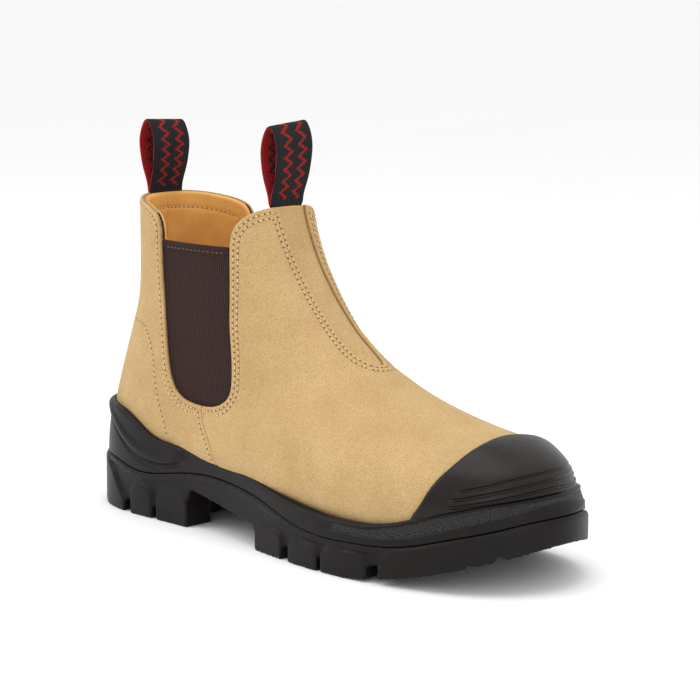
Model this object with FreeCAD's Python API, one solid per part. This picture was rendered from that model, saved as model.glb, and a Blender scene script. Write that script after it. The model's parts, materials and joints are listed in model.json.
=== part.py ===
import FreeCAD, Part
import os
from math import cos, hypot, pi, sin

# Pull-on safety boot with elastic side gussets, right foot, in millimetres.
# +X points to the toe, +Y to the inner side of the foot, +Z up.
# The origin is on the ground, under the middle of the sole.

V = FreeCAD.Vector

# ---------------------------------------------------------------- driving sizes
SOLE_LENGTH = 312.0
HALF_LENGTH = SOLE_LENGTH / 2
SUEDE = 1.9              # thickness of the outer leather
LAYER_GAP = 0.15         # running gap between neighbouring layers
CORE_START = SUEDE + LAYER_GAP
CORE_END = 4.0           # inner face of the stiffeners, foam and steel cap
LINING_START = CORE_END + LAYER_GAP
LINING_END = LINING_START + 1.1
GORE_THICKNESS = 1.2
COUNTER_THICKNESS = 1.5
BUMP_CAP_THICKNESS = 2.7
BOARD_TOP = 4.1          # top of the insole board above the lasted underside
FOOTBED_GAP = 0.35
COLLAR_HEIGHT = 165.6
GORE_TOP = 145.3
GORE_OVERLAP = 7.0       # gore that is hidden under the leather edge
TAB_WIDTH = 25.0
TAB_THICKNESS = 1.4
TAB_HEIGHT = 37.5
HINGE_RISE = 3.6         # hinge line of a pull tab above the collar
ANCHOR_TOP = COLLAR_HEIGHT + HINGE_RISE - 1.4
LUG_DEPTH = 6.0
OPEN_TOP = 176.0         # every layer of the shaft is cut open at this height
WIDE = 90.0              # half-width of every cutting body
TOE_START = 80.0         # the sole's walls lean back more from here to the tip
HALF_POINTS = 14         # points on each half of a section
FOREFOOT_SECTION = 8     # sections from here on enclose the front half only

# Cross-sections of the lasted upper, from above the collar to the toe tip. Each one
# lies in a plane through a front point and a back point, square to the XZ plane:
# (front x, z), (back x, z), half-widths right and left, place of the widest point
# along the chord, roundness of the crown and of the base, shift of the middle.
SECTIONS = [
    ((-30.0, 184.0), (-128.5, 182.0), 34.5, 34.5, 0.50, 2.60, 2.3, 0.0),
    ((-28.5, 165.0), (-129.0, 163.0), 34.5, 34.5, 0.50, 2.60, 2.3, 0.0),
    ((-24.0, 150.0), (-129.5, 146.0), 34.5, 34.5, 0.50, 2.60, 2.3, 0.0),
    ((-17.0, 136.0), (-130.0, 128.0), 35.0, 35.0, 0.50, 2.50, 2.3, 0.0),
    ((-7.5, 123.5), (-132.5, 110.0), 35.5, 35.5, 0.50, 2.40, 2.3, 0.0),
    ((2.0, 114.0), (-139.0, 90.0), 36.5, 35.5, 0.50, 2.30, 2.4, 0.0),
    ((12.0, 105.8), (-145.5, 70.0), 37.5, 35.5, 0.52, 2.20, 2.5, 0.0),
    ((23.0, 98.3), (-149.0, 50.0), 38.5, 36.5, 0.55, 2.20, 2.7, 0.0),
    ((34.0, 92.0), (-140.0, 33.0), 39.0, 37.0, 0.57, 2.20, 3.0, 0.0),
    ((45.0, 86.5), (-105.0, 31.5), 40.5, 37.5, 0.58, 2.20, 3.2, 0.0),
    ((59.0, 80.0), (-60.0, 30.0), 44.5, 39.5, 0.60, 2.20, 3.6, 0.0),
    ((74.0, 73.8), (0.0, 25.0), 49.0, 43.5, 0.62, 2.20, 4.0, 1.0),
    ((90.0, 68.3), (50.0, 20.0), 51.0, 48.0, 0.64, 2.30, 4.5, 2.0),
    ((105.0, 65.3), (84.0, 20.5), 49.5, 47.0, 0.68, 2.40, 5.0, 3.0),
    ((120.5, 61.6), (98.0, 21.5), 47.0, 44.5, 0.74, 2.40, 6.0, 4.0),
    ((133.0, 55.2), (103.0, 22.0), 45.0, 42.0, 0.82, 2.35, 7.0, 4.5),
    ((141.5, 46.5), (106.0, 22.5), 43.5, 39.0, 0.90, 2.30, 8.0, 5.0),
    ((146.5, 37.5), (108.0, 23.0), 42.5, 38.0, 0.93, 2.25, 9.0, 5.0),
    ((148.0, 28.2), (109.0, 23.4), 41.5, 37.0, 0.95, 2.20, 9.0, 5.0),
]

# Lines in the side view, as (x, z), from the heel to the toe.
UNDERSIDE = [(-170, 34.5), (-105, 31.5), (-60, 30), (0, 25), (50, 20), (84, 20.5),
             (109, 23.4), (148, 28.2), (170, 30.8)]
MIDSOLE_TOP = [(-170, 60), (-150, 59), (-135, 57.5), (-120, 55.8), (-110, 52.5),
               (-101, 47.5), (-92, 43.5), (-80, 41.5), (-57, 40), (-36, 39.2),
               (-20, 37.3), (0, 33.2), (20, 29.8), (40, 27.7), (56, 27.1), (72, 27.3),
               (87, 28.9), (101, 32.5), (116, 37.3), (130, 41), (145, 43.6), (158, 44.6),
               (170, 45)]
PARTING = [(-170, 28), (-140, 27.5), (-123, 26.5), (-103, 23.3), (-90, 23.8),
           (-63, 28), (-45, 29.3), (-20, 28.2), (0, 25.5), (28, 19.1), (50, 16.9),
           (63, 17), (80, 17.6), (98, 19.5), (122, 25.6), (140, 30.4), (152, 34),
           (170, 36)]
TREAD = [(-170, 6), (-156, 2.6), (-148, 0), (-66, 0), (-62, 19.5), (-50, 17.5),
         (-25, 13.7), (-8, 11.0), (-2, 0), (66, 0), (88, 2.6), (107, 6.5),
         (124, 11.2), (140, 16.0), (156, 21.8), (170, 27)]

# Side view of the leather pieces.
GORE_FRONT = [(-42.2, 185), (-41.6, 145.5), (-39.2, 124), (-37.1, 104.5), (-33.8, 82),
              (-35.5, 70.5), (-44, 65.2), (-54, 64)]
GORE_REAR = [(-91.8, 185), (-90.8, 143.6), (-88, 114.4), (-84.3, 94.2), (-80.4, 79.2),
             (-74.5, 69.5), (-65, 65), (-54, 64)]
SIDE_SEAM = [(-54, 64), (-52.5, 57.4), (-48.6, 51.4), (-43.5, 45.7), (-39, 38), (-36, 10)]
COLLAR_REAR = [(-175, 167), (-140, 166.5), (-125, 165.3), (-111, 163), (-100, 160.4),
               (-94.5, 157.5), (-91.8, 153), (-90.8, GORE_TOP)]
COLLAR_FRONT = [(-41.6, GORE_TOP), (-41.2, 152.5), (-38.6, 158), (-34.5, 162),
                (-28.5, 165.2), (-10, 167.5), (30, 169)]
COUNTER_EDGE = [(-160, 101), (-125, 100), (-103, 97), (-95.5, 87), (-92, 75),
                (-87.3, 60), (-82.7, 50), (-80, 20)]

# Plan view outlines, as (distance from the heel, outer side, inner side).
SOLE_WIDTHS = [(8, 24, 24), (24, 36.5, 36.5), (48, 41.8, 41), (80, 42, 40.5),
               (112, 43, 40.5), (150, 48, 43.5), (190, 54, 50.5), (220, 54.7, 53.5),
               (245, 51.8, 54.7), (270, 45, 51), (290, 34.5, 41.5), (303, 21, 28)]
# Grooves of the tread: across it as (start, end), and along it with a half-width.
CROSS_GROOVES = [(-114.0, -109.0), (-90.2, -87.2), (19.0, 24.6), (47.0, 49.4), (79.0, 85.0)]
LENGTH_GROOVES = [(-128, -84, 4), (2, 78, 5)]
# Rear edge of the bump cap in plan, as (distance from its middle line, x).
BUMP_EDGE = [(-60, 88), (-52, 98), (-45, 107), (-37, 111.5), (-24, 113), (-12, 112),
             (0, 110), (12, 112), (24, 113), (37, 111.5), (45, 107), (52, 98), (60, 88)]
BUMP_MIDDLE = 4.0
# The same edge in the side view, where the wall is upright.
BUMP_SIDE = [(87, 20), (90.5, 27), (98, 33), (103.3, 38.3), (107.2, 44.9), (109, 52), (108.5, 90)]
# The leather at the front is cut out in a long U, closed by an insert from beneath.
INSERT_EDGE = [(-7.5, 185), (-6.5, 160), (-4.5, 140), (-4.5, 120), (-6, 104),
               (-5, 94.5), (1.5, 91.5), (9, 94), (12.5, 104), (13.5, 120), (13.5, 140),
               (12.5, 160), (12, 185)]


# ---------------------------------------------------------------- curves and bodies
def spline(points):
    curve = Part.BSplineCurve()
    curve.interpolate(points)
    return curve.toShape()


def loop(points):
    """Closed spline through evenly spaced points, with the same knots every time."""
    curve = Part.BSplineCurve()
    knots = [float(i) for i in range(len(points) + 1)]
    curve.interpolate(Points=points, PeriodicFlag=True, Parameters=knots)
    return Part.Wire([curve.toShape()])


def outline_loop(points):
    """Closed spline through unevenly spaced points."""
    curve = Part.BSplineCurve()
    curve.interpolate(points, PeriodicFlag=True)
    return Part.Wire([curve.toShape()])


def corner_edges(points):
    return [Part.makeLine(a, b) for a, b in zip(points[:-1], points[1:])]


def side(points):
    """Points of the XZ plane on the right-hand face of the cutting bodies."""
    return [V(x, -WIDE, z) for x, z in points]


def prism(edges, depth):
    return Part.Face(Part.Wire(edges)).extrude(depth)


def side_prism(edges):
    return prism(edges, V(0, 2 * WIDE, 0))


def below(line, rise=0.0, straight=False):
    """Everything under a side-view line that is lifted by rise."""
    top = side([(x, z + rise) for x, z in line])
    first, last = top[0], top[-1]
    edges = corner_edges(top) if straight else [spline(top)]
    edges += corner_edges([last, V(last.x, -WIDE, -40), V(first.x, -WIDE, -40), first])
    return side_prism(edges)


def between(lower, upper, low_rise=0.0, high_rise=0.0):
    return below(upper, high_rise).cut(below(lower, low_rise))


def box(x0, x1, y0, y1, z0, z1):
    return Part.makeBox(x1 - x0, y1 - y0, z1 - z0, V(x0, y0, z0))


def plan_outline(widths, z, inset=0.0, toe_pull=0.0):
    """Closed plan-view spline through the sole's widths, pulled in by inset.

    The front is pulled back further, by toe_pull at the tip.
    """
    scale_x = (HALF_LENGTH - inset) / HALF_LENGTH
    outer = []
    inner = []
    for distance, right, left in widths:
        x = (distance - HALF_LENGTH) * scale_x
        x -= toe_pull * max((x - TOE_START) / (HALF_LENGTH - TOE_START), 0.0) ** 2
        outer.append(V(x, -(right - inset), z))
        inner.append(V(x, left - inset, z))
    heel = V(-HALF_LENGTH + inset, 0, z)
    toe = V(HALF_LENGTH - inset - toe_pull, 3, z)
    return outline_loop([heel] + outer + [toe] + inner[::-1])


def half_section(chord, width, widest, crown, base):
    """Evenly spaced points (along the chord, out from it) of one superellipse half."""
    dense = []
    steps = 240
    for i in range(steps + 1):
        angle = pi * i / steps
        c = abs(cos(angle))
        s = max(sin(angle), 0.0)
        if i <= steps / 2:
            along = widest * (1 - c ** (2 / crown))
            out = s ** (2 / crown)
        else:
            along = widest + (1 - widest) * c ** (2 / base)
            out = s ** (2 / base)
        dense.append((along * chord, out * width))
    lengths = [0.0]
    for (a0, o0), (a1, o1) in zip(dense[:-1], dense[1:]):
        lengths.append(lengths[-1] + hypot(a1 - a0, o1 - o0))
    points = []
    index = 0
    for k in range(HALF_POINTS):
        target = lengths[-1] * k / (HALF_POINTS - 1)
        while index < steps - 1 and lengths[index + 1] < target:
            index += 1
        span = lengths[index + 1] - lengths[index]
        t = (target - lengths[index]) / span
        (a0, o0), (a1, o1) = dense[index], dense[index + 1]
        points.append((a0 + (a1 - a0) * t, o0 + (o1 - o0) * t))
    return points


def inward(profile, i, turn):
    """Unit normal of a profile at point i, turned into the boot."""
    before = profile[max(i - 1, 0)]
    after = profile[min(i + 1, len(profile) - 1)]
    dx, dz = after[0] - before[0], after[1] - before[1]
    size = hypot(dx, dz)
    return turn * dz / size, -turn * dx / size


def skin(depth, first=0):
    """Solid inside the surface that lies depth under the outer leather."""
    sections = SECTIONS[first:]
    fronts = [row[0] for row in sections]
    backs = [row[1] for row in sections]
    wires = []
    last = len(sections) - 1
    for i, (front, back, right, left, widest, crown, base, shift) in enumerate(sections):
        front_normal = inward(fronts, i, 1)
        back_normal = inward(backs, i, -1)
        fx = front[0] + depth * front_normal[0]
        fz = front[1] + depth * front_normal[1]
        bx = back[0] + depth * back_normal[0]
        bz = back[1] + depth * back_normal[1]
        if i == last:
            fz += depth
        chord = hypot(bx - fx, bz - fz)
        ux, uz = (bx - fx) / chord, (bz - fz) / chord
        right_half = half_section(chord, right - depth, widest, crown, base)
        left_half = half_section(chord, left - depth, widest, crown, base)
        ring = [V(fx + ux * a, shift - o, fz + uz * a) for a, o in right_half]
        ring += [V(fx + ux * a, shift + o, fz + uz * a) for a, o in left_half[-2:0:-1]]
        wires.append(loop(ring))
    return Part.makeLoft(wires, True)


def layer(start, end, first=0):
    """Shell between two depths, open at the top."""
    outer = skin(start, first).cut(box(-200, 200, -WIDE, WIDE, OPEN_TOP, OPEN_TOP + 80))
    return outer.cut(skin(end, first))


PARTS = {}


def keep(name, shape):
    solids = shape.Solids
    PARTS[name] = solids[0] if len(solids) == 1 else Part.makeCompound(solids)


# ---------------------------------------------------------------- cutting bodies
def above_collar(drop=0.0):
    rear = side([(x, z - drop) for x, z in COLLAR_REAR])
    front = side([(x, z - drop) for x, z in COLLAR_FRONT])
    edges = [spline(rear), Part.makeLine(rear[-1], front[0]), spline(front)]
    high = 260
    edges += corner_edges([front[-1], V(front[-1].x, -WIDE, high),
                           V(rear[0].x, -WIDE, high), rear[0]])
    return side_prism(edges)


def behind_seam(top_edge, shift):
    """Everything behind one edge of the gore and the side seam under it."""
    upper = side([(x + shift, z) for x, z in top_edge])
    seam = side([(x + shift, z) for x, z in SIDE_SEAM])
    edges = [spline(upper), spline(seam)]
    edges += corner_edges([seam[-1], V(-190, -WIDE, 10), V(-190, -WIDE, 185), upper[0]])
    return side_prism(edges)


def gore_window(grow):
    """Side view of the gusset, with its edge moved out by grow."""
    front = side([(x + grow, z - grow * (z < 90)) for x, z in GORE_FRONT[:-1]])
    rear = side([(x - grow, z - grow * (z < 90)) for x, z in GORE_REAR[:-1]])
    low = side([(GORE_FRONT[-1][0], GORE_FRONT[-1][1] - grow)])
    return side_prism([spline(front + low + rear[::-1]), Part.makeLine(rear[0], front[0])])


def front_cut_out(grow):
    """Long U in the front view, around the insert."""
    middle = 4.0
    points = []
    for y, z in INSERT_EDGE:
        out = grow if y > middle else -grow
        drop = grow if z < 96 else 0.0
        points.append(V(-35, y + out, z - drop))
    edges = [spline(points), Part.makeLine(points[-1], points[0])]
    return prism(edges, V(90, 0, 0))


def bump_region():
    """Everything in front of the bump cap's rear edge."""
    edge = [V(x, BUMP_MIDDLE + y, 0) for y, x in BUMP_EDGE]
    edges = [spline(edge)]
    edges += corner_edges([edge[-1], V(175, edge[-1].y, 0), V(175, edge[0].y, 0), edge[0]])
    wall = side(BUMP_SIDE)
    wall_edges = [spline(wall)]
    wall_edges += corner_edges([wall[-1], V(175, -WIDE, 90), V(175, -WIDE, 20), wall[0]])
    return prism(edges, V(0, 0, 90)).common(side_prism(wall_edges))


def toe_region(x_edge):
    return box(x_edge, 175, -WIDE, WIDE, 0, 90)


def lasting_opening():
    """Opening that the turned-under leather leaves in the bottom."""
    rim = [(-130, 0), (-121, -15), (-95, -21), (-55, -20), (0, -26), (50, -31), (90, -28),
           (115, -16), (124, 3), (115, 21), (90, 31), (50, 29), (0, 23), (-55, 18),
           (-95, 20), (-121, 15)]
    face = Part.Face(outline_loop([V(x, y, 5) for x, y in rim]))
    return face.extrude(V(0, 0, 36))


# ---------------------------------------------------------------- upper
def make_upper():
    floor = below(UNDERSIDE, BOARD_TOP + LAYER_GAP)
    over_collar = above_collar()
    under_stack = above_collar(1.0)
    opening = lasting_opening()
    insert_cut = front_cut_out(0.0)
    insert_area = front_cut_out(6.0)

    suede = layer(0.0, SUEDE).cut(over_collar).cut(opening)
    keep("vamp", suede.cut(behind_seam(GORE_FRONT, 0.0)).cut(insert_cut))
    rear = suede.common(behind_seam(GORE_REAR, -0.2))
    keep("back_quarter_right", rear.common(box(-190, 0, -WIDE, -0.1, 0, 200)))
    keep("back_quarter_left", rear.common(box(-190, 0, 0.1, WIDE, 0, 200)))

    stay = layer(-1.3, -LAYER_GAP).common(box(-190, -110, -9, 9, 59.6, 102))
    keep("back_stay", stay)

    core = layer(CORE_START, CORE_END).cut(under_stack).cut(floor)
    gore = layer(CORE_START, CORE_START + GORE_THICKNESS).cut(over_collar)
    gore = gore.common(gore_window(GORE_OVERLAP))
    keep("gore_right", gore.common(box(-120, 0, -WIDE, -10, 0, 200)))
    keep("gore_left", gore.common(box(-120, 0, 10, WIDE, 0, 200)))
    hem = layer(SUEDE - 0.9, SUEDE).cut(over_collar).common(gore_window(-0.5))
    hem = hem.common(box(-120, 0, -WIDE, WIDE, GORE_TOP - 4.0, 200))
    keep("gore_hem_right", hem.common(box(-120, 0, -WIDE, 0, 0, 200)))
    keep("gore_hem_left", hem.common(box(-120, 0, 0, WIDE, 0, 200)))

    insert = layer(CORE_START, CORE_START + 1.2).cut(over_collar)
    keep("front_insert", insert.common(insert_area).cut(box(-80, -35, -WIDE, WIDE, 0, 200)))

    counter = layer(CORE_START, CORE_START + COUNTER_THICKNESS).cut(floor)
    keep("heel_counter", counter.common(below(COUNTER_EDGE)))

    steel = core.common(toe_region(98))
    keep("steel_toe_cap", steel)
    keep("toe_cap_edge_strip", core.common(box(90, 97.8, -WIDE, WIDE, 0, 90)))

    tab_slot = box(-60, 0, -13.2, 13.2, 140, 200).fuse(box(-170, -90, -13.2, 13.2, 140, 200))
    foam = core.cut(below([(-170, 136), (-90, 132), (-40, 130), (60, 138)]))
    foam = foam.cut(gore_window(GORE_OVERLAP + 0.8)).cut(tab_slot)
    keep("collar_foam_rear", foam.common(box(-190, -80, -WIDE, WIDE, 0, 200)))
    keep("collar_foam_front", foam.common(box(-60, 60, -WIDE, WIDE, 0, 200)).cut(
        front_cut_out(6.5)))

    lining = layer(LINING_START, LINING_END).cut(over_collar).cut(floor)
    split = side([(-38, 10), (-30, 40), (0, 80), (22, 125)])
    split_edges = [spline(split)]
    split_edges += corner_edges([split[-1], V(22, -WIDE, 230), V(-190, -WIDE, 230),
                                 V(-190, -WIDE, 10), split[0]])
    shaft_side = side_prism(split_edges)
    keep("shaft_lining", lining.common(shaft_side))
    keep("vamp_lining", lining.cut(shaft_side))

    front_anchor = layer(CORE_START + 1.3, CORE_END - 0.05)
    keep("pull_tab_front_anchor", front_anchor.common(
        box(-60, 0, -TAB_WIDTH / 2, TAB_WIDTH / 2, 148, ANCHOR_TOP)))
    rear_anchor = layer(CORE_START + 0.1, CORE_END - 0.05)
    keep("pull_tab_rear_anchor", rear_anchor.common(
        box(-170, -90, -TAB_WIDTH / 2, TAB_WIDTH / 2, 148, ANCHOR_TOP)))


# ---------------------------------------------------------------- inside of the sole
def make_inside():
    inner = skin(CORE_START)
    board = inner.common(below(UNDERSIDE, BOARD_TOP))
    keep("insole_board", board)

    opening = lasting_opening()
    room = layer(0.1, CORE_START - 0.1).common(opening)
    shank_plan = box(-100, 30, -9, 9, 0, 60)
    keep("forefoot_filler", room.common(box(31, 190, -WIDE, WIDE, 0, 60)))
    keep("steel_shank", room.common(shank_plan).common(below(UNDERSIDE, 1.6)))
    rivets = []
    for x in (-88, 18):
        rivets.append(Part.makeCylinder(2.4, 7, V(x, 0, 22 if x > 0 else 28)))
    stack = Part.makeCompound(rivets).common(
        between(UNDERSIDE, UNDERSIDE, CORE_START - 0.3, BOARD_TOP - 0.05))
    keep("shank_rivets", stack)
    PARTS["insole_board"] = PARTS["insole_board"].cut(stack)

    heel_room = room.common(box(-190, -101, -WIDE, WIDE, 0, 60))
    keep("heel_filler", heel_room)


FOOTBED_TOP = [(-170, 48), (-135, 46), (-100, 43.5), (-60, 41), (0, 35), (50, 29.5),
               (84, 30), (110, 32.8), (147, 38), (170, 41)]
FOOTBED_WIDTHS = [(20, 17, 17), (32, 26, 26), (55, 30.5, 30), (85, 31, 29.5),
                  (115, 31.5, 28), (150, 35, 29), (190, 41, 35.5), (220, 42.5, 40),
                  (245, 41, 41.5), (268, 35, 40), (284, 24, 33), (293, 11, 20)]


PAD_X = -106.0
PAD_RADIUS = 21.0
PAD_BOTTOM = 38.9


def make_footbed():
    xs = [(d - HALF_LENGTH, right, left) for d, right, left in FOOTBED_WIDTHS]
    outer = [V(x, -right, 15) for x, right, left in xs]
    inner = [V(x, left, 15) for x, right, left in xs]
    plan = outline_loop([V(-141, 0, 15)] + outer + [V(138.5, 4.5, 15)] + inner[::-1])
    column = Part.Face(plan).extrude(V(0, 0, 50))
    low = LINING_END + FOOTBED_GAP
    body = skin(low).common(column)
    cover_depth = 1.0
    body = body.cut(below(UNDERSIDE, low))
    foam = body.common(below(FOOTBED_TOP, -cover_depth))
    pad = Part.makeCylinder(PAD_RADIUS, 2.5, V(PAD_X, 0, PAD_BOTTOM))
    pocket = Part.makeCylinder(PAD_RADIUS + 0.3, PAD_BOTTOM + 2.8 - 30, V(PAD_X, 0, 30))
    keep("footbed", foam.cut(pocket))
    keep("heel_cushion_pad", pad)
    keep("footbed_top_cover", body.common(
        below(FOOTBED_TOP)).cut(below(FOOTBED_TOP, -cover_depth)))


# ---------------------------------------------------------------- sole unit
def sole_block(bottom_inset, top_inset, height, toe_pull=0.0):
    """Slightly tapered block of the sole's plan outline."""
    low = plan_outline(SOLE_WIDTHS, 0.0, bottom_inset)
    high = plan_outline(SOLE_WIDTHS, height, top_inset, toe_pull)
    return Part.makeLoft([low, high], True, True)


def make_sole():
    upper = skin(-0.2).cut(box(-190, 190, -WIDE, WIDE, 75, 220))
    block = sole_block(0.2, 3.0, 64.0, 7.0)
    midsole = block.common(between(PARTING, MIDSOLE_TOP, 0.1)).cut(upper)
    keep("midsole", midsole)

    body = sole_block(0.0, 0.6, 40.0).common(below(PARTING))
    body = body.cut(below(TREAD, straight=True))
    grooves = []
    for start, end in CROSS_GROOVES:
        rise = max(0.0, (start - 66) * 0.17)
        grooves.append(box(start, end, -WIDE, WIDE, -1, LUG_DEPTH + rise))
    for start, end, half_width in LENGTH_GROOVES:
        grooves.append(box(start, end, -half_width, half_width, -1, LUG_DEPTH))
    for groove in grooves:
        body = body.cut(groove)
    keep("outsole", body.cut(upper))

    cap = layer(-BUMP_CAP_THICKNESS, -LAYER_GAP, FOREFOOT_SECTION).common(bump_region())
    cap = cap.cut(below(MIDSOLE_TOP, 0.15))
    keep("toe_bump_cap", cap)


# ---------------------------------------------------------------- pull tabs
def make_tab(name, x):
    """Webbing loop that stands on its hinge line, just over the collar."""
    base = COLLAR_HEIGHT + HINGE_RISE
    shape = [(1.2, 0.2), (4.2, 9), (6.4, 20), (5.8, 29), (0, TAB_HEIGHT)]
    loops = []
    for inset in (0.0, TAB_THICKNESS):
        right = [(max(px - inset, 0.0) if pz < TAB_HEIGHT else 0.0,
                  pz - inset if pz == TAB_HEIGHT else pz + inset * (pz < 1))
                 for px, pz in shape]
        ring = [V(x + px, -TAB_WIDTH / 2, base + pz) for px, pz in right]
        ring += [V(x - px, -TAB_WIDTH / 2, base + pz) for px, pz in right[-2::-1]]
        loops.append(ring)
    outer = Part.Wire([spline(loops[0]), Part.makeLine(loops[0][-1], loops[0][0])])
    hole_points = loops[1][1:-1]
    tip = V(x, -TAB_WIDTH / 2, base + 3.0)
    hole = outline_loop([tip] + hole_points)
    width = V(0, TAB_WIDTH, 0)
    keep(name, Part.Face(outer).extrude(width).cut(Part.Face(hole).extrude(width)))


def main():
    os.makedirs("parts", exist_ok=True)
    make_upper()
    make_inside()
    make_footbed()
    make_sole()
    make_tab("pull_tab_front_loop", -31.8)
    make_tab("pull_tab_rear_loop", -126.2)
    for name, shape in PARTS.items():
        shape.exportStep(os.path.join("parts", name + ".step"))
        valid = "valid" if shape.isValid() else "NOT VALID"
        print(name, len(shape.Solids), "solids", round(shape.Volume), "mm3", valid)


main()
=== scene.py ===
import json
import math

import bpy
import numpy as np
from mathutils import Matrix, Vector
from mathutils.bvhtree import BVHTree


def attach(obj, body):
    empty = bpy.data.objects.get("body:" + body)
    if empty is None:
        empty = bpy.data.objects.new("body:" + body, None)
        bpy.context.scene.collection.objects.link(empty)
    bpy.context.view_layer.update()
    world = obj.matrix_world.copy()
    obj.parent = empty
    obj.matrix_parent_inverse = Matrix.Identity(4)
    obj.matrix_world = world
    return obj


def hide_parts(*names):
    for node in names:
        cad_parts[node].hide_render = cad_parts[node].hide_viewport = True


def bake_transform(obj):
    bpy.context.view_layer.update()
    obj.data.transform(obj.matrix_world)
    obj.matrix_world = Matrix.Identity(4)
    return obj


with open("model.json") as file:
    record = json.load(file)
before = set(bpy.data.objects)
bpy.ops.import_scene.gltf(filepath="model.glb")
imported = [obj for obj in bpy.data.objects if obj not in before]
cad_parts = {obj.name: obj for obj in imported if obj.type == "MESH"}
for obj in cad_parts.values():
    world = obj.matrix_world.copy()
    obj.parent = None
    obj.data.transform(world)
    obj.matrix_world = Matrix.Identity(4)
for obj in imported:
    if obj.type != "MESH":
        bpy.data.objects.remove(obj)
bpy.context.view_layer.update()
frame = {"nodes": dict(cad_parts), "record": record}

MM = 0.001

# ------------------------------------------------------------------ shapes, in mm
SUEDE = 1.9            # thickness of the outer leather
GORE_TOP = 145.3
HINGE_Z = 169.2        # hinge lines of the pull loops

# Cross-sections of the upper: front x z, back x z, half-widths right and left,
# widest place, roundness of crown and of base, shift of the middle.
SECTIONS = np.array([
    [-30, 184, -128.5, 182, 34.5, 34.5, .50, 2.60, 2.3, 0],
    [-28.5, 165, -129, 163, 34.5, 34.5, .50, 2.60, 2.3, 0],
    [-24, 150, -129.5, 146, 34.5, 34.5, .50, 2.60, 2.3, 0],
    [-17, 136, -130, 128, 35, 35, .50, 2.50, 2.3, 0],
    [-7.5, 123.5, -132.5, 110, 35.5, 35.5, .50, 2.40, 2.3, 0],
    [2, 114, -139, 90, 36.5, 35.5, .50, 2.30, 2.4, 0],
    [12, 105.8, -145.5, 70, 37.5, 35.5, .52, 2.20, 2.5, 0],
    [23, 98.3, -149, 50, 38.5, 36.5, .55, 2.20, 2.7, 0],
    [34, 92, -140, 33, 39, 37, .57, 2.20, 3.0, 0],
    [45, 86.5, -105, 31.5, 40.5, 37.5, .58, 2.20, 3.2, 0],
    [59, 80, -60, 30, 44.5, 39.5, .60, 2.20, 3.6, 0],
    [74, 73.8, 0, 25, 49, 43.5, .62, 2.20, 4.0, 1],
    [90, 68.3, 50, 20, 51, 48, .64, 2.30, 4.5, 2],
    [105, 65.3, 84, 20.5, 49.5, 47, .68, 2.40, 5.0, 3],
    [120.5, 61.6, 98, 21.5, 47, 44.5, .74, 2.40, 6.0, 4],
    [133, 55.2, 103, 22, 45, 42, .82, 2.35, 7.0, 4.5],
    [141.5, 46.5, 106, 22.5, 43.5, 39, .90, 2.30, 8.0, 5],
    [146.5, 37.5, 108, 23, 42.5, 38, .93, 2.25, 9.0, 5],
    [148, 28.2, 109, 23.4, 41.5, 37, .95, 2.20, 9.0, 5]], float)
# Lines in the side view, as (x, z).
MIDSOLE_TOP = [(-170, 57), (-150, 56.2), (-135, 55.3), (-120, 54.2), (-110, 51.5),
               (-101, 47.5), (-92, 43.5), (-80, 41.5), (-57, 40), (-36, 39.2), (-20, 37.3),
               (0, 33.2), (20, 29.8), (40, 27.7), (56, 27.1), (72, 27.3), (87, 28.9),
               (101, 32.5), (116, 37.3), (130, 41), (145, 43.6), (158, 44.6), (170, 45)]
PARTING = [(-170, 28), (-140, 27.5), (-123, 26.5), (-103, 23.3), (-90, 23.8), (-63, 28),
           (-45, 29.3), (-20, 28.2), (0, 25.5), (28, 19.1), (50, 16.9), (63, 17),
           (80, 17.6), (98, 19.5), (122, 25.6), (140, 30.4), (152, 34), (170, 36)]
TREAD = [(-170, 6), (-156, 2.6), (-148, 0), (-66, 0), (-62, 19.5), (-50, 17.5),
         (-25, 13.7), (-8, 11), (-2, 0), (66, 0), (88, 2.6), (107, 6.5), (124, 11.2),
         (140, 16), (156, 21.8), (170, 27)]
GORE_FRONT = [(-42.2, 185), (-41.6, 145.5), (-39.2, 124), (-37.1, 104.5), (-33.8, 82),
              (-35.5, 70.5), (-44, 65.2), (-54, 64)]
GORE_REAR = [(-91.8, 185), (-90.8, 143.6), (-88, 114.4), (-84.3, 94.2), (-80.4, 79.2),
             (-74.5, 69.5), (-65, 65), (-54, 64)]
SIDE_SEAM = [(-54, 64), (-52.5, 57.4), (-48.6, 51.4), (-43.5, 45.7), (-39, 38), (-36, 10)]
COLLAR_REAR = [(-175, 167), (-140, 166.5), (-125, 165.3), (-111, 163), (-100, 160.4),
               (-94.5, 157.5), (-91.8, 153), (-90.8, GORE_TOP)]
COLLAR_FRONT = [(-41.6, GORE_TOP), (-41.2, 152.5), (-38.6, 158), (-34.5, 162),
                (-28.5, 165.2), (-10, 167.5), (30, 169)]
COUNTER_EDGE = [(-190, 101), (-125, 100), (-103, 97), (-95.5, 87), (-92, 75),
                (-87.3, 60), (-82.7, 50), (-80, 20)]
# Plan of the sole: distance from the heel, width to the outer and to the inner side.
SOLE_WIDTHS = [(8, 24, 24), (24, 36.5, 36.5), (48, 41.8, 41), (80, 42, 40.5),
               (112, 43, 40.5), (150, 48, 43.5), (190, 54, 50.5), (220, 54.7, 53.5),
               (245, 51.8, 54.7), (270, 45, 51), (290, 34.5, 41.5), (303, 21, 28)]
# Rear edge of the bump cap, in plan and in the side view.
BUMP_EDGE = [(-60, 80), (-52, 92), (-45, 103.5), (-37, 110.5), (-24, 113), (-12, 112),
             (0, 110), (12, 112), (24, 113), (37, 110.5), (45, 103.5), (52, 92), (60, 80)]
BUMP_SIDE = [(82, 20), (86, 27), (95.5, 33), (103.3, 38.3), (107.2, 44.9), (109, 52), (108.5, 90)]
BUMP_MIDDLE = 4.0
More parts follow.
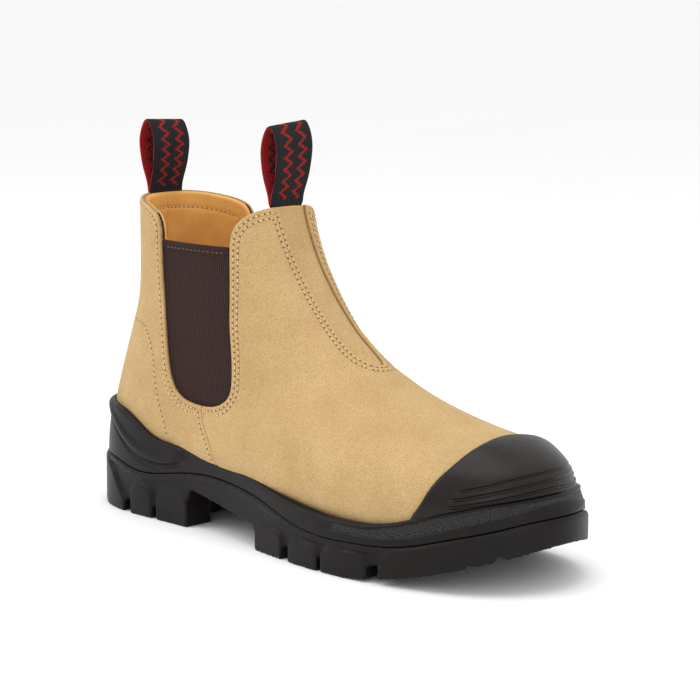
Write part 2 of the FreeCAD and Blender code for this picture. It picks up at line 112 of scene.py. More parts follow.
# Long U of the insert, in the front view.
INSERT_EDGE = [(-7.5, 185), (-6.5, 160), (-4.5, 140), (-4.5, 120), (-6, 104),
               (-5, 94.5), (1.5, 91.5), (9, 94), (12.5, 104), (13.5, 120), (13.5, 140),
               (12.5, 160), (12, 185)]


# ------------------------------------------------------------------ curves
def cubic(points, step=0.5, closed=False):
    """Cubic spline through points, sampled about every step mm."""
    p = np.array(points, float)
    if closed:
        p = np.vstack([p[-3:], p, p[:4]])
    t = np.r_[0, np.cumsum(np.linalg.norm(np.diff(p, axis=0), axis=1))]
    h = np.diff(t)
    n = len(t)
    a = np.eye(n)
    b = np.zeros_like(p)
    for i in range(1, n - 1):
        a[i, i - 1], a[i, i], a[i, i + 1] = h[i - 1], 2 * (h[i - 1] + h[i]), h[i]
        b[i] = 6 * ((p[i + 1] - p[i]) / h[i] - (p[i] - p[i - 1]) / h[i - 1])
    m = np.linalg.solve(a, b)
    first, last = (t[3], t[-4]) if closed else (t[0], t[-1])
    s = np.linspace(first, last, int((last - first) / step) + 2)
    if closed:
        s = s[:-1]
    k = np.clip(np.searchsorted(t, s, side="right") - 1, 0, n - 2)
    left, right, hk = (s - t[k])[:, None], (t[k + 1] - s)[:, None], h[k][:, None]
    return (m[k] * right ** 3 + m[k + 1] * left ** 3) / (6 * hk) + \
        (p[k] / hk - m[k] * hk / 6) * right + (p[k + 1] / hk - m[k + 1] * hk / 6) * left


def line_height(points):
    """z as a smooth function of x."""
    c = cubic(points, 0.5)
    order = np.argsort(c[:, 0])
    return lambda x: np.interp(x, c[order, 0], c[order, 1])


def straight_height(points):
    p = np.array(points, float)
    return lambda x: np.interp(x, p[:, 0], p[:, 1])


midsole_top = line_height(MIDSOLE_TOP)
parting = line_height(PARTING)
tread = straight_height(TREAD)


def unit(v):
    return v / np.linalg.norm(v, axis=-1, keepdims=True)


def smooth(x, low, high):
    """Step from 0 to 1 with soft ends."""
    t = np.clip((x - low) / (high - low), 0, 1)
    return t * t * (3 - 2 * t)


def signed_distance(points, polygon):
    """Distance of 2-D points to a closed polygon, positive inside."""
    shape = points.shape[:-1]
    q = points.reshape(-1, 2)
    best = np.full(len(q), 1e18)
    inside = np.zeros(len(q), bool)
    for (ax, ay), (bx, by) in zip(polygon, np.roll(polygon, -1, axis=0)):
        ex, ey = bx - ax, by - ay
        length = ex * ex + ey * ey
        if length < 1e-12:
            continue
        t = np.clip(((q[:, 0] - ax) * ex + (q[:, 1] - ay) * ey) / length, 0, 1)
        d = (q[:, 0] - ax - t * ex) ** 2 + (q[:, 1] - ay - t * ey) ** 2
        best = np.minimum(best, d)
        crosses = (ay > q[:, 1]) != (by > q[:, 1])
        inside ^= crosses & (q[:, 0] < ax + (q[:, 1] - ay) * ex / (ey or 1.0))
    return (np.sqrt(best) * np.where(inside, 1, -1)).reshape(shape)


# ------------------------------------------------------------------ upper surface
ROWS_PER_STATION = 14
HALF = 140
LAST = len(SECTIONS) - 1


def stations(v):
    """Rows of SECTIONS at fractional places, on a smooth curve through them."""
    k = np.clip(v.astype(int), 0, LAST - 1)
    t = (v - k)[:, None]
    ext = np.vstack([2 * SECTIONS[0] - SECTIONS[1], SECTIONS, 2 * SECTIONS[-1] - SECTIONS[-2]])
    p0, p1, p2, p3 = ext[k], ext[k + 1], ext[k + 2], ext[k + 3]
    return 0.5 * (2 * p1 + (p2 - p0) * t + (2 * p0 - 5 * p1 + 4 * p2 - p3) * t ** 2
                  + (3 * p1 - p0 - 3 * p2 + p3) * t ** 3)


def surface_grid():
    """Rows of points round the upper, evenly spaced on each half of a section."""
    rows = stations(np.linspace(0, LAST, LAST * ROWS_PER_STATION + 1))
    angle = np.linspace(0, math.pi, 1441)
    c, s = np.abs(np.cos(angle)), np.clip(np.sin(angle), 0, 1)
    front = angle <= math.pi / 2
    grid = np.zeros((len(rows), 2 * HALF + 1, 3))
    for i, (fx, fz, bx, bz, right, left, widest, crown, base, shift) in enumerate(rows):
        chord = math.hypot(bx - fx, bz - fz)
        ux, uz = (bx - fx) / chord, (bz - fz) / chord
        along = np.where(front, widest * (1 - c ** (2 / crown)),
                         widest + (1 - widest) * c ** (2 / base)) * chord
        out = np.where(front, s ** (2 / crown), s ** (2 / base))
        for side, width, columns in ((-1, right, slice(HALF, None, -1)),
                                     (1, left, slice(HALF, None))):
            y = out * width
            length = np.r_[0, np.cumsum(np.hypot(np.diff(along), np.diff(y)))]
            t = np.linspace(0, length[-1], HALF + 1)
            a, o = np.interp(t, length, along), np.interp(t, length, y)
            grid[i, columns] = np.c_[fx + ux * a, shift + side * o, fz + uz * a]
    return grid


GRID = surface_grid()
X, Y, Z = GRID[..., 0], GRID[..., 1], GRID[..., 2]
GRID_U = np.gradient(GRID, axis=1)
GRID_U[:, [0, -1]] = (GRID[:, [1]] - GRID[:, [-2]]) / 2
GRID_V = np.gradient(GRID, axis=0)
NORMAL = np.cross(GRID_U, GRID_V)
NORMAL /= np.maximum(np.linalg.norm(NORMAL, axis=2, keepdims=True), 1e-9)
if NORMAL[20, HALF, 0] < 0:
    NORMAL = -NORMAL
index = np.arange(X.size).reshape(X.shape)
QUADS = np.stack([index[:-1, :-1], index[:-1, 1:], index[1:, 1:], index[1:, :-1]], -1).reshape(-1, 4)
TRIANGLES = np.concatenate([QUADS[:, :3], QUADS[:, [0, 2, 3]]])


def surface_field(g):
    """A signed 2-D distance turned into the distance over the surface."""
    gu, gv = np.gradient(g, axis=1), np.gradient(g, axis=0)
    e = (GRID_U ** 2).sum(2)
    f = (GRID_U * GRID_V).sum(2)
    h = (GRID_V ** 2).sum(2)
    slope = (h * gu ** 2 - 2 * f * gu * gv + e * gv ** 2) / np.maximum(e * h - f * f, 1e-6)
    return g / np.clip(np.sqrt(np.maximum(slope, 0)), 0.45, 1.2)


def side_field(polygon):
    return surface_field(signed_distance(GRID[..., [0, 2]], polygon))


FAR = 300
seam = cubic(SIDE_SEAM)
front_line = cubic(GORE_FRONT)
rear_line = cubic(GORE_REAR)
FIELD = {
    "vamp": side_field(np.vstack([front_line, seam, [(FAR, -50), (FAR, 400)]])),
    "quarter": side_field(np.vstack([rear_line, seam - (0.2, 0), [(-FAR, -50), (-FAR, 400)]])),
    "collar": side_field(np.vstack([cubic(COLLAR_REAR), cubic(COLLAR_FRONT),
                                    [(FAR, 170), (FAR, -50), (-FAR, -50), (-FAR, 167)]])),
    "gore": -side_field(np.vstack([front_line, rear_line[::-1]])),
    "counter": side_field(np.vstack([cubic(COUNTER_EDGE), [(-200, 20)]])),
    "right": surface_field(-Y - 0.1),
    "left": surface_field(Y - 0.1),
    "foot": surface_field(Z - (midsole_top(X) - 4)),
    "bump_foot": surface_field(Z - midsole_top(X) - 0.1),
}
FIELD["quarter_edge"] = np.minimum(FIELD["quarter"], FIELD["collar"])
insert = signed_distance(GRID[..., [1, 2]], cubic(INSERT_EDGE))
FIELD["u_cut"] = -surface_field(np.where(X < -50, -60, insert))
FIELD["vamp_edge"] = np.minimum(np.minimum(FIELD["vamp"], FIELD["collar"]), FIELD["u_cut"])
bump_loop = np.vstack([[(x, BUMP_MIDDLE + y) for y, x in cubic(BUMP_EDGE)], [(FAR, 90), (FAR, -90)]])
bump_plan = surface_field(signed_distance(GRID[..., [0, 1]], bump_loop))
bump_side = side_field(np.vstack([cubic(BUMP_SIDE), [(FAR, 90), (FAR, 20)]]))
corner = 1 - np.abs(np.clip((bump_plan - bump_side) / 8, -1, 1))
FIELD["bump"] = np.minimum(bump_plan, bump_side) - 2 * corner ** 2


def place(u, v):
    """Points and normals of the surface at grid coordinates."""
    i = np.clip(v.astype(int), 0, GRID.shape[0] - 2)
    j = np.clip(u.astype(int), 0, GRID.shape[1] - 2)
    a, b = (v - i)[:, None], (u - j)[:, None]
    p, n = [(t[i, j] * (1 - b) + t[i, j + 1] * b) * (1 - a)
            + (t[i + 1, j] * (1 - b) + t[i + 1, j + 1] * b) * a for t in (GRID, NORMAL)]
    return p, unit(n)


class Sheet:
    """Triangles over the surface, with their fields, cut along levels of those fields."""

    def __init__(self, names, window):
        v, u = np.indices(X.shape).astype(float)
        self.u, self.v = u.ravel(), v.ravel()
        self.f = {name: FIELD[name].ravel().copy() for name in names}
        self.t = TRIANGLES[window.ravel()[TRIANGLES].all(1)]

    def grow(self, a, b, t):
        """Add a point between each a and b, at share t."""
        start = len(self.u)
        self.u = np.r_[self.u, self.u[a] * (1 - t) + self.u[b] * t]
        self.v = np.r_[self.v, self.v[a] * (1 - t) + self.v[b] * t]
        for name, f in self.f.items():
            self.f[name] = np.r_[f, f[a] * (1 - t) + f[b] * t]
        return start

    def split(self, name, level, snap=0.09):
        f = self.f[name]
        f[np.abs(f - level) < snap] = level
        state = np.sign(f - level).astype(int)
        s = state[self.t]
        has = (s > 0).any(1) & (s < 0).any(1)
        keep, cross = self.t[~has], self.t[has]
        s = s[has]
        if len(cross) == 0:
            return
        zero = (s == 0).any(1)
        lone = np.where((s > 0).sum(1) == 1, (s > 0).argmax(1), (s < 0).argmax(1))
        lone = np.where(zero, (s == 0).argmax(1), lone)
        r = np.arange(len(cross))
        a, b, c = cross[r, lone], cross[r, (lone + 1) % 3], cross[r, (lone + 2) % 3]
        edges = np.vstack([np.c_[a, b][~zero], np.c_[a, c][~zero], np.c_[b, c][zero]])
        edges = np.sort(edges, axis=1)
        unique, back = np.unique(edges, axis=0, return_inverse=True)
        back = back.ravel()
        g = f - level
        t = g[unique[:, 0]] / (g[unique[:, 0]] - g[unique[:, 1]])
        start = self.grow(unique[:, 0], unique[:, 1], t)
        self.f[name][start:] = level
        n = int((~zero).sum())
        p, q, m = start + back[:n], start + back[n:2 * n], start + back[2 * n:]
        az, bz, cz = a[zero], b[zero], c[zero]
        a, b, c = a[~zero], b[~zero], c[~zero]
        self.t = np.vstack([keep, np.c_[a, p, q], np.c_[p, b, c], np.c_[p, c, q],
                            np.c_[az, bz, m], np.c_[az, m, cz]])

    def split_levels(self, names, levels, snap=0.09):
        for name in names:
            for level in levels:
                self.split(name, level, snap)

    def trim(self, name, level=0.0):
        """Keep what lies above the level."""
        self.split(name, level)
        mean = self.f[name][self.t].mean(1)
        self.t = self.t[mean > level]

    def compact(self):
        """Drop the points that no triangle uses."""
        used, back = np.unique(self.t, return_inverse=True)
        self.t = back.reshape(-1, 3)
        self.u, self.v = self.u[used], self.v[used]
        self.f = {name: f[used] for name, f in self.f.items()}


def rounded(d, radius):
    """Height lost near a free edge with that radius."""
    x = np.clip(d, 0, radius)
    return np.sqrt(np.maximum(radius ** 2 - (radius - x) ** 2, 0)) - radius


def build(name, points, faces, mats, indices=None, flat_shaded=False):
    mesh = bpy.data.meshes.new(name)
    mesh.from_pydata((np.asarray(points) * MM).tolist(), [], [list(map(int, f)) for f in faces])
    for m in mats:
        mesh.materials.append(m)
    if indices is not None:
        mesh.polygons.foreach_set("material_index", np.asarray(indices, np.int32))
    mesh.polygons.foreach_set("use_smooth", np.full(len(faces), not flat_shaded))
    mesh.update()
    obj = bpy.data.objects.new(name, mesh)
    bpy.context.scene.collection.objects.link(obj)
    return obj


def tube_faces(rings, around):
    """Quads between successive closed rings of points."""
    return [[k * around + c, k * around + (c + 1) % around,
             (k + 1) * around + (c + 1) % around, (k + 1) * around + c]
            for k in range(rings - 1) for c in range(around)]


def panel(name, sheet, top, bottom, mats):
    """Closed piece from a trimmed sheet; its rim takes the last material."""
    sheet.compact()
    p, n = place(sheet.u, sheet.v)
    high = p + n * top(sheet.f, p)[:, None]
    low = p + n * bottom(sheet.f, p)[:, None]
    t = sheet.t
    e = np.vstack([t[:, [0, 1]], t[:, [1, 2]], t[:, [2, 0]]])
    key = np.sort(e, axis=1)
    _, first, count = np.unique(key, axis=0, return_index=True, return_counts=True)
    rim = e[first[count == 1]]
    k = len(p)
    facing = np.cross(p[t[:, 1]] - p[t[:, 0]], p[t[:, 2]] - p[t[:, 0]])
    outward = (facing * n[t[:, 0]]).sum() > 0
    top_faces = t if outward else t[:, ::-1]
    low_faces = (t[:, ::-1] if outward else t) + k
    a, b = (rim[:, 0], rim[:, 1]) if outward else (rim[:, 1], rim[:, 0])
    rim_faces = np.c_[a, a + k, b + k, b]
    faces = list(top_faces) + list(low_faces) + list(rim_faces)
    slots = [0] * (2 * len(t)) + [len(mats) - 1] * len(rim_faces)
    return build(name, np.vstack([high, low]), faces, mats, slots)


def contour(field, level, where):
    """Ordered grid coordinates of each line where a field has that value."""
    f = field - level
    cols = f.shape[1]
    flat = np.where(np.abs(f) < 1e-9, 1e-9, f).ravel()
    above = (flat[TRIANGLES] > 0).sum(1)
    cross = TRIANGLES[(above == 1) | (above == 2)]
    cross = cross[where.ravel()[cross].all(1)]
    links = {}
    spots = {}
    for corners in cross:
        ends = []
        for i, j in ((0, 1), (1, 2), (2, 0)):
            p, q = sorted((int(corners[i]), int(corners[j])))
            if (flat[p] > 0) != (flat[q] > 0):
                ends.append((p, q))
                t = flat[p] / (flat[p] - flat[q])
                spots[(p, q)] = ((p % cols) * (1 - t) + (q % cols) * t,
                                 (p // cols) * (1 - t) + (q // cols) * t)
        links.setdefault(ends[0], []).append(ends[1])
        links.setdefault(ends[1], []).append(ends[0])
    chains = []
    seen = set()
    starts = [k for k, v in links.items() if len(v) == 1] + list(links)
    for start in starts:
        if start in seen:
            continue
        chain = [start]
        seen.add(start)
        while True:
            onward = [k for k in links[chain[-1]] if k not in seen]
            if not onward:
                break
            chain.append(onward[0])
            seen.add(onward[0])
        if len(chain) > 6:
            chains.append(np.array([spots[k] for k in chain]))
    return chains


THREADS = {"thread": ([], []), "thread_dark": ([], []), "holes": ([], [])}
THREAD_GAP = 0.55      # space between two stitches, where the needle hole is
HOLE_SIDES = 8
HOLE_FACES = np.array([[0, 1 + k, 1 + (k + 1) % HOLE_SIDES, 0] for k in range(HOLE_SIDES)])
STITCH_RINGS = 7
STITCH_SIDES = 6
STITCH_FACES = np.array(tube_faces(STITCH_RINGS, STITCH_SIDES))


def add_bits(kind, points, faces):
    clouds, shapes = THREADS[kind]
    shapes.append(faces + sum(len(p) for p in clouds))
    clouds.append(points)


def stitch_row(field, level, height, where, pitch=3.0, kind="thread", holes=True,
               thick=0.36, inside=False):
    """Thread pieces, and discs of painted shade at the needle holes, along a line of the surface."""
    sign = -1.0 if inside else 1.0
    spread = np.linspace(-1, 1, STITCH_RINGS)
    shape = np.sqrt(np.clip(1 - spread ** 2, 0.03, 1))
    lift = height + sign * (0.38 * shape - 0.30)
    angle = np.linspace(0, 2 * math.pi, STITCH_SIDES + 1)[:-1]
    sideways = np.cos(angle)[None, :, None] * thick * shape[:, None, None]
    upward = np.sin(angle)[None, :, None] * thick * 0.8 * shape[:, None, None]
    for chain in contour(FIELD[field], level, where):
        p, n = place(chain[:, 0], chain[:, 1])
        length = np.r_[0, np.cumsum(np.linalg.norm(np.diff(p, axis=0), axis=1))]
        if length[-1] < 3 * pitch:
            continue
        p = np.stack([np.convolve(np.pad(p[:, k], 4, mode="edge"), np.ones(9) / 9, "valid")
                      for k in range(3)], 1)

        def along_chain(table, t):
            return np.stack([np.interp(t, length, table[:, k]) for k in range(3)], -1)
        for i in range(int(length[-1] / pitch)):
            t = (i + 0.5) * pitch + 0.5 * spread * (pitch - THREAD_GAP)
            mid, up = along_chain(p, t), along_chain(n, t)
            up = unit(up)
            across = np.cross(up, unit(np.gradient(mid, axis=0)))
            ring = (mid[:, None] + up[:, None] * (lift[:, None, None] + upward)
                    + across[:, None] * sideways)
            add_bits(kind, ring.reshape(-1, 3), STITCH_FACES)
            if holes:
                # a small disc coloured with painted shade where the needle went through
                q, w = along_chain(p, i * pitch), unit(along_chain(n, i * pitch))
                y_axis = np.cross(w, across[0])
                disc = [q + w * (height + sign * 0.06)]
                for k in range(HOLE_SIDES):
                    turn = 2 * math.pi * k / HOLE_SIDES
                    disc.append(q + w * (height - sign * 0.02) + across[0] * math.cos(turn) * 0.62
                                + y_axis * math.sin(turn) * 0.5)
                add_bits("holes", np.array(disc), HOLE_FACES)


# ------------------------------------------------------------------ materials
WHITE = (1, 1, 1)


class Material:
    """Node material, with short calls for its textures."""

    def __init__(self, name):
        self.data = bpy.data.materials.new(name)
        self.data.use_nodes = True
        self.nodes = self.data.node_tree.nodes
        self.link = self.data.node_tree.links.new
        self.shader = self.nodes["Principled BSDF"]
        self.vector = self.nodes.new("ShaderNodeTexCoord").outputs["Object"]

    def texture(self, kind, values, vector=None):
        node = self.nodes.new(kind)
        for name, value in values.items():
            node.inputs[name].default_value = value
        self.link(self.vector if vector is None else vector, node.inputs["Vector"])
        return node

    def noise(self, scale, detail=3.0, rough=0.55):
        values = {"Scale": scale, "Detail": detail, "Roughness": rough}
        return self.texture("ShaderNodeTexNoise", values).outputs["Fac"]

    def wave(self, direction, values, vector=None):
        node = self.texture("ShaderNodeTexWave", values, vector)
        node.bands_direction = direction
        return node.outputs["Fac"]

    def ramp(self, value, *stops):
        node = self.nodes.new("ShaderNodeValToRGB")
        elements = node.color_ramp.elements
        for element, (position, colour) in zip(elements, (stops[0], stops[-1])):
            element.position = position
            element.color = (*colour, 1)
        for position, colour in stops[1:-1]:
            elements.new(position).color = (*colour, 1)
        self.link(value, node.inputs["Fac"])
        return node.outputs["Color"]

    def multiply(self, a, b, amount):
        node = self.nodes.new("ShaderNodeMix")
        node.data_type = "RGBA"
        node.blend_type = "MULTIPLY"
        node.inputs[0].default_value = amount
        self.link(a, node.inputs[6])
        self.link(b, node.inputs[7])
        return node.outputs[2]

    def bump(self, height, distance, strength=1.0, under=None):
        node = self.nodes.new("ShaderNodeBump")
        node.inputs["Strength"].default_value = strength
        node.inputs["Distance"].default_value = distance
        self.link(height, node.inputs["Height"])
        if under is not None:
            self.link(under, node.inputs["Normal"])
        return node.outputs["Normal"]

    def finish(self, colour, normal, values):
        self.link(colour, self.shader.inputs["Base Color"])
        self.link(normal, self.shader.inputs["Normal"])
        for name, value in values.items():
            self.shader.inputs[name].default_value = value
        return self.data


def plain(name, light, dark, rough, scale, relief, depth, metallic=0.0, sheen=0.0, coat=0.0,
          specular=0.5):
    """Two-tone mottled surface with a fine relief."""
    m = Material(name)
    colour = m.ramp(m.noise(scale), (0.35, dark), (0.65, light))
    return m.finish(colour, m.bump(m.noise(relief), depth),
                    {"Roughness": rough, "Metallic": metallic, "Sheen Weight": sheen,
                     "Coat Weight": coat, "Specular IOR Level": specular})


def suede_material():
    m = Material("suede_wheat")
    large = m.ramp(m.noise(38, 4, 0.6), (0.30, (0.480, 0.320, 0.146)),
                   (0.5, (0.518, 0.352, 0.163)), (0.72, (0.556, 0.383, 0.182)))
    nap = m.ramp(m.noise(1250, 3, 0.7), (0.34, (0.72, 0.69, 0.65)), (0.60, WHITE))
    blotch = m.ramp(m.noise(220, 3, 0.6), (0.32, (0.86, 0.84, 0.82)), (0.6, WHITE))
    colour = m.multiply(m.multiply(large, nap, 0.95), blotch, 0.25)
    grain = m.bump(m.noise(1300, 2, 0.6), 0.00025)
    return m.finish(colour, m.bump(m.noise(90), 0.0006, 0.8, grain),
                    {"Roughness": 0.93, "Specular IOR Level": 0.15, "Sheen Weight": 0.12,
                     "Sheen Roughness": 0.5, "Sheen Tint": (1.0, 0.80, 0.5, 1)})


def gore_material():
    """Elastic with upright ribs and a slanting twill; its colour is partly rib stripes and partly
    painted shade in the grooves.
    """
    m = Material("gore_elastic")
    ribs = m.wave("X", {"Scale": 250, "Distortion": 0.4, "Detail": 1.0})
    turned = m.nodes.new("ShaderNodeMapping")
    turned.inputs["Rotation"].default_value = (0, math.radians(52), 0)
    m.link(m.vector, turned.inputs["Vector"])
    twill = m.wave("X", {"Scale": 330, "Distortion": 0.6}, turned.outputs["Vector"])
    # Partly real rib stripes, partly painted shade: the colour follows the same waves as the bumps,
    # darker where ribs and twill sink.
    base = m.ramp(ribs, (0.15, (0.016, 0.007, 0.006)), (0.8, (0.062, 0.026, 0.020)))
    shade = m.ramp(twill, (0.2, (0.55, 0.5, 0.5)), (0.75, WHITE))
    normal = m.bump(twill, 0.0002, 0.8, m.bump(ribs, 0.00045))
    return m.finish(m.multiply(base, shade, 0.8), normal,
                    {"Roughness": 0.75, "Specular IOR Level": 0.2})


def webbing_material(name, dark, light):
    m = Material(name)
    weft = m.wave("Y", {"Scale": 300, "Distortion": 0.3})
    warp = m.wave("Z", {"Scale": 420, "Distortion": 0.3})
    # Partly woven tone, partly painted shade: the colour follows the same weft and warp waves as the
    # bumps, darker in the grooves.
    tone = m.ramp(weft, (0.2, dark), (0.8, light))
    shade = m.ramp(warp, (0.1, (0.6, 0.6, 0.6)), (0.8, WHITE))
    normal = m.bump(warp, 0.0003, 0.8, m.bump(weft, 0.0003))
    return m.finish(m.multiply(tone, shade, 0.8), normal,
                    {"Roughness": 0.8, "Specular IOR Level": 0.15})


def stipple_with_painted_shade():
    m = Material("rubber_stipple_painted_shade")
    cells = m.texture("ShaderNodeTexVoronoi", {"Scale": 820}).outputs["Distance"]
    # Painted shade: the colour follows the same cells as the bump, lighter on the raised cells and
    # darker in the hollows between them.
    colour = m.ramp(cells, (0.1, (0.022, 0.020, 0.019)), (0.6, (0.006, 0.006, 0.006)))
    flip = m.nodes.new("ShaderNodeInvert")
    m.link(cells, flip.inputs["Color"])
    return m.finish(colour, m.bump(flip.outputs["Color"], 0.0010),
                    {"Roughness": 0.5, "Specular IOR Level": 0.35})


SUEDE_MAT = suede_material()
CUT_EDGE = plain("suede_cut_edge", (0.42, 0.26, 0.115), (0.32, 0.19, 0.08), 0.9, 500, 900, 0.0004)
THREAD = plain("thread_sand", (0.72, 0.52, 0.28), (0.58, 0.39, 0.19), 0.65, 900, 3000, 0.0001)
THREAD_DARK = plain("thread_brown", (0.10, 0.055, 0.04), (0.06, 0.035, 0.025), 0.6, 900, 3000,
                    0.0001)
# Needle holes: a dark colour on a small raised disc, painted shade in place of the hole's depth.
HOLE_SHADE = plain("needle_hole_shade", (0.21, 0.115, 0.048), (0.14, 0.075, 0.030), 1.0, 900, 900, 0.0001,
             specular=0.0)
LINING = plain("lining_leather", (0.78, 0.40, 0.095), (0.66, 0.32, 0.075), 0.5, 60, 500, 0.00018,
               specular=0.3)
LINING_EDGE = plain("lining_edge", (0.42, 0.23, 0.09), (0.34, 0.18, 0.07), 0.8, 300, 700, 0.0002)
GORE = gore_material()
BLACK_LIGHT, BLACK_DARK = (0.008, 0.006, 0.005), (0.005, 0.004, 0.004)
RUBBER = plain("rubber_black", BLACK_LIGHT, BLACK_DARK, 0.42, 60, 1400, 0.00012, specular=0.16)
CAP_RUBBER = plain("rubber_cap", (0.012, 0.009, 0.007), (0.008, 0.006, 0.005), 0.30, 60, 1500,
                   0.00012, specular=0.19)
SOLE_RUBBER = plain("rubber_outsole", BLACK_LIGHT, BLACK_DARK, 0.44, 60, 1200, 0.00014,
                    specular=0.16)
STIPPLE_SHADED = stipple_with_painted_shade()
WEB_BLACK = webbing_material("webbing_black", (0.008, 0.008, 0.009), (0.030, 0.030, 0.032))
WEB_RED = webbing_material("webbing_red", (0.24, 0.008, 0.008), (0.50, 0.022, 0.020))
# Materials of the CAD nodes that stay hidden inside the boot, by slot.
INSIDE = {
    "steel": plain("pressed_steel", (0.55, 0.56, 0.58), (0.45, 0.46, 0.48), 0.35, 40, 900,
                   0.00005, metallic=1.0),
    "stiffener": plain("stiffener_sheet", (0.70, 0.66, 0.56), (0.60, 0.56, 0.47), 0.7, 60, 700,
                       0.0002),
    "board": plain("fibre_board", (0.42, 0.31, 0.20), (0.33, 0.24, 0.15), 0.9, 300, 800, 0.0003),
    "foam": plain("collar_foam", (0.70, 0.66, 0.55), (0.60, 0.56, 0.46), 0.95, 200, 900, 0.0005),
    "cork": plain("cork_filler", (0.46, 0.29, 0.15), (0.28, 0.16, 0.08), 0.9, 500, 500, 0.0006),
    "footbed_foam": plain("footbed_foam", (0.10, 0.10, 0.11), (0.07, 0.07, 0.08), 0.85, 200, 800,
                          0.0003),
    "footbed_fabric": plain("footbed_knit", (0.16, 0.15, 0.15), (0.09, 0.09, 0.09), 0.95, 700,
                            900, 0.0004, sheen=0.3),
    "gel": plain("gel_pad", (0.62, 0.30, 0.05), (0.55, 0.26, 0.04), 0.25, 60, 300, 0.0001,
                 coat=0.3),
    "lining_textile": plain("lining_textile", (0.42, 0.31, 0.20), (0.32, 0.23, 0.15), 0.95, 400,
                            900, 0.0004, sheen=0.3),
}
for entry in frame["record"]["subparts"]:
    material = INSIDE.get(entry["material_slot"])
    if material is not None:
        mesh = frame["nodes"][entry["node"]].data
        mesh.materials.clear()
        mesh.materials.append(material)


def finish_piece(obj, slot, *nodes):
    """The piece stands for those CAD nodes and rides the boot."""
    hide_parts(*nodes)
    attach(obj, "boot")


# ------------------------------------------------------------------ leather
EDGE_RADIUS = 0.95
ROUND_LEVELS = (0.12, 0.35, 0.65, EDGE_RADIUS)
ROW_NEAR, ROW_FAR = 2.4, 5.0         # stitch rows, from the edge of the leather
NEAR_LEVELS = (1.7, ROW_NEAR, 3.1)
FAR_LEVELS = (4.3, ROW_FAR, 5.7)
UNDER = -3.25                        # underside of what is sewn in behind the suede
COUNTER_LOW, COUNTER_HIGH = 59, 102  # ends of the stay over the heel seam


def sides(gap):
    """Name and grid points of each half, reaching gap past the middle line."""
    return (("right", Y < gap), ("left", Y > -gap))


def flat(height):
    return lambda f, p: np.full(len(p), height)


def dimple(d, level):
    """Shallow channel that a stitch row pulls into the leather."""
    return -0.28 * np.exp(-((d - level) / 0.75) ** 2)


def make_vamp():
    edges = ("vamp", "u_cut", "collar")
    sheet = Sheet(edges + ("foot", "vamp_edge"), (X > -60) & (FIELD["foot"] > -8))
    for name in edges + ("foot",):
        sheet.trim(name)
    sheet.split_levels(edges, ROUND_LEVELS + NEAR_LEVELS + FAR_LEVELS)

    def top(f, p):
        h = rounded(np.min([f[name] for name in edges], axis=0), EDGE_RADIUS)
        for row in (ROW_NEAR, ROW_FAR):
            h += dimple(f["vamp_edge"], row) * (p[:, 2] > 62)
        return h
    finish_piece(panel("vamp_suede", sheet, top, flat(-SUEDE), [SUEDE_MAT, CUT_EDGE]),
                 "suede", "vamp")


def make_quarter(word, half):
    sheet = Sheet(("quarter", "collar", "foot", "counter", word),
                  (X < -25) & (FIELD["foot"] > -8) & half & (FIELD["quarter"] > -8))
    for name in ("quarter", "collar", "foot", word):
        sheet.trim(name)
    sheet.split_levels(("quarter", "collar"), ROUND_LEVELS + NEAR_LEVELS)
    sheet.split_levels((word,), (0.25, 0.6))
    sheet.split_levels(("counter",), (-0.6, 0.0, 0.6))

    def top(f, p):
        h = rounded(np.minimum(f["quarter"], f["collar"]), EDGE_RADIUS) + rounded(f[word], 0.6)
        h += 0.7 * (dimple(f["quarter"], ROW_NEAR) + dimple(f["collar"], ROW_NEAR))
        return h + 0.6 * dimple(f["counter"], 0.0)
    piece = panel("back_quarter_suede_" + word, sheet, top, flat(-SUEDE), [SUEDE_MAT, CUT_EDGE])
    finish_piece(piece, "suede", "back_quarter_" + word)


def make_insert():
    sheet = Sheet(("u_cut", "collar"), (X > -45) & (FIELD["u_cut"] < 9) & (Z > 84))
    sheet.f["u_cut"] = -sheet.f["u_cut"]
    sheet.trim("u_cut", -5.5)
    sheet.trim("collar")
    sheet.split_levels(("collar",), (0.3, 0.8))
    piece = panel("instep_insert", sheet, lambda f, p: rounded(f["collar"], 0.6) - 2.0,
                  flat(UNDER), [SUEDE_MAT, CUT_EDGE])
    finish_piece(piece, "suede", "front_insert")


def make_gore(word, half):
    sheet = Sheet(("gore", "collar"), half & (FIELD["gore"] < 8) & (Z < 160))
    sheet.f["gore"] = -sheet.f["gore"]
    sheet.trim("gore", -5.0)
    sheet.trim("collar")
    sheet.split_levels(("collar",), (0.2, 0.5, 0.9, 3.6, 4.1))

    def top(f, p):
        hem = 0.55 * (1 - smooth(f["collar"], 3.5, 4.2)) * smooth(f["gore"], -0.2, 1.2)
        return hem + rounded(f["collar"], 0.8) - 2.02
    piece = panel("gore_elastic_" + word, sheet, top, flat(UNDER), [GORE])
    finish_piece(piece, "elastic", "gore_" + word, "gore_hem_" + word)


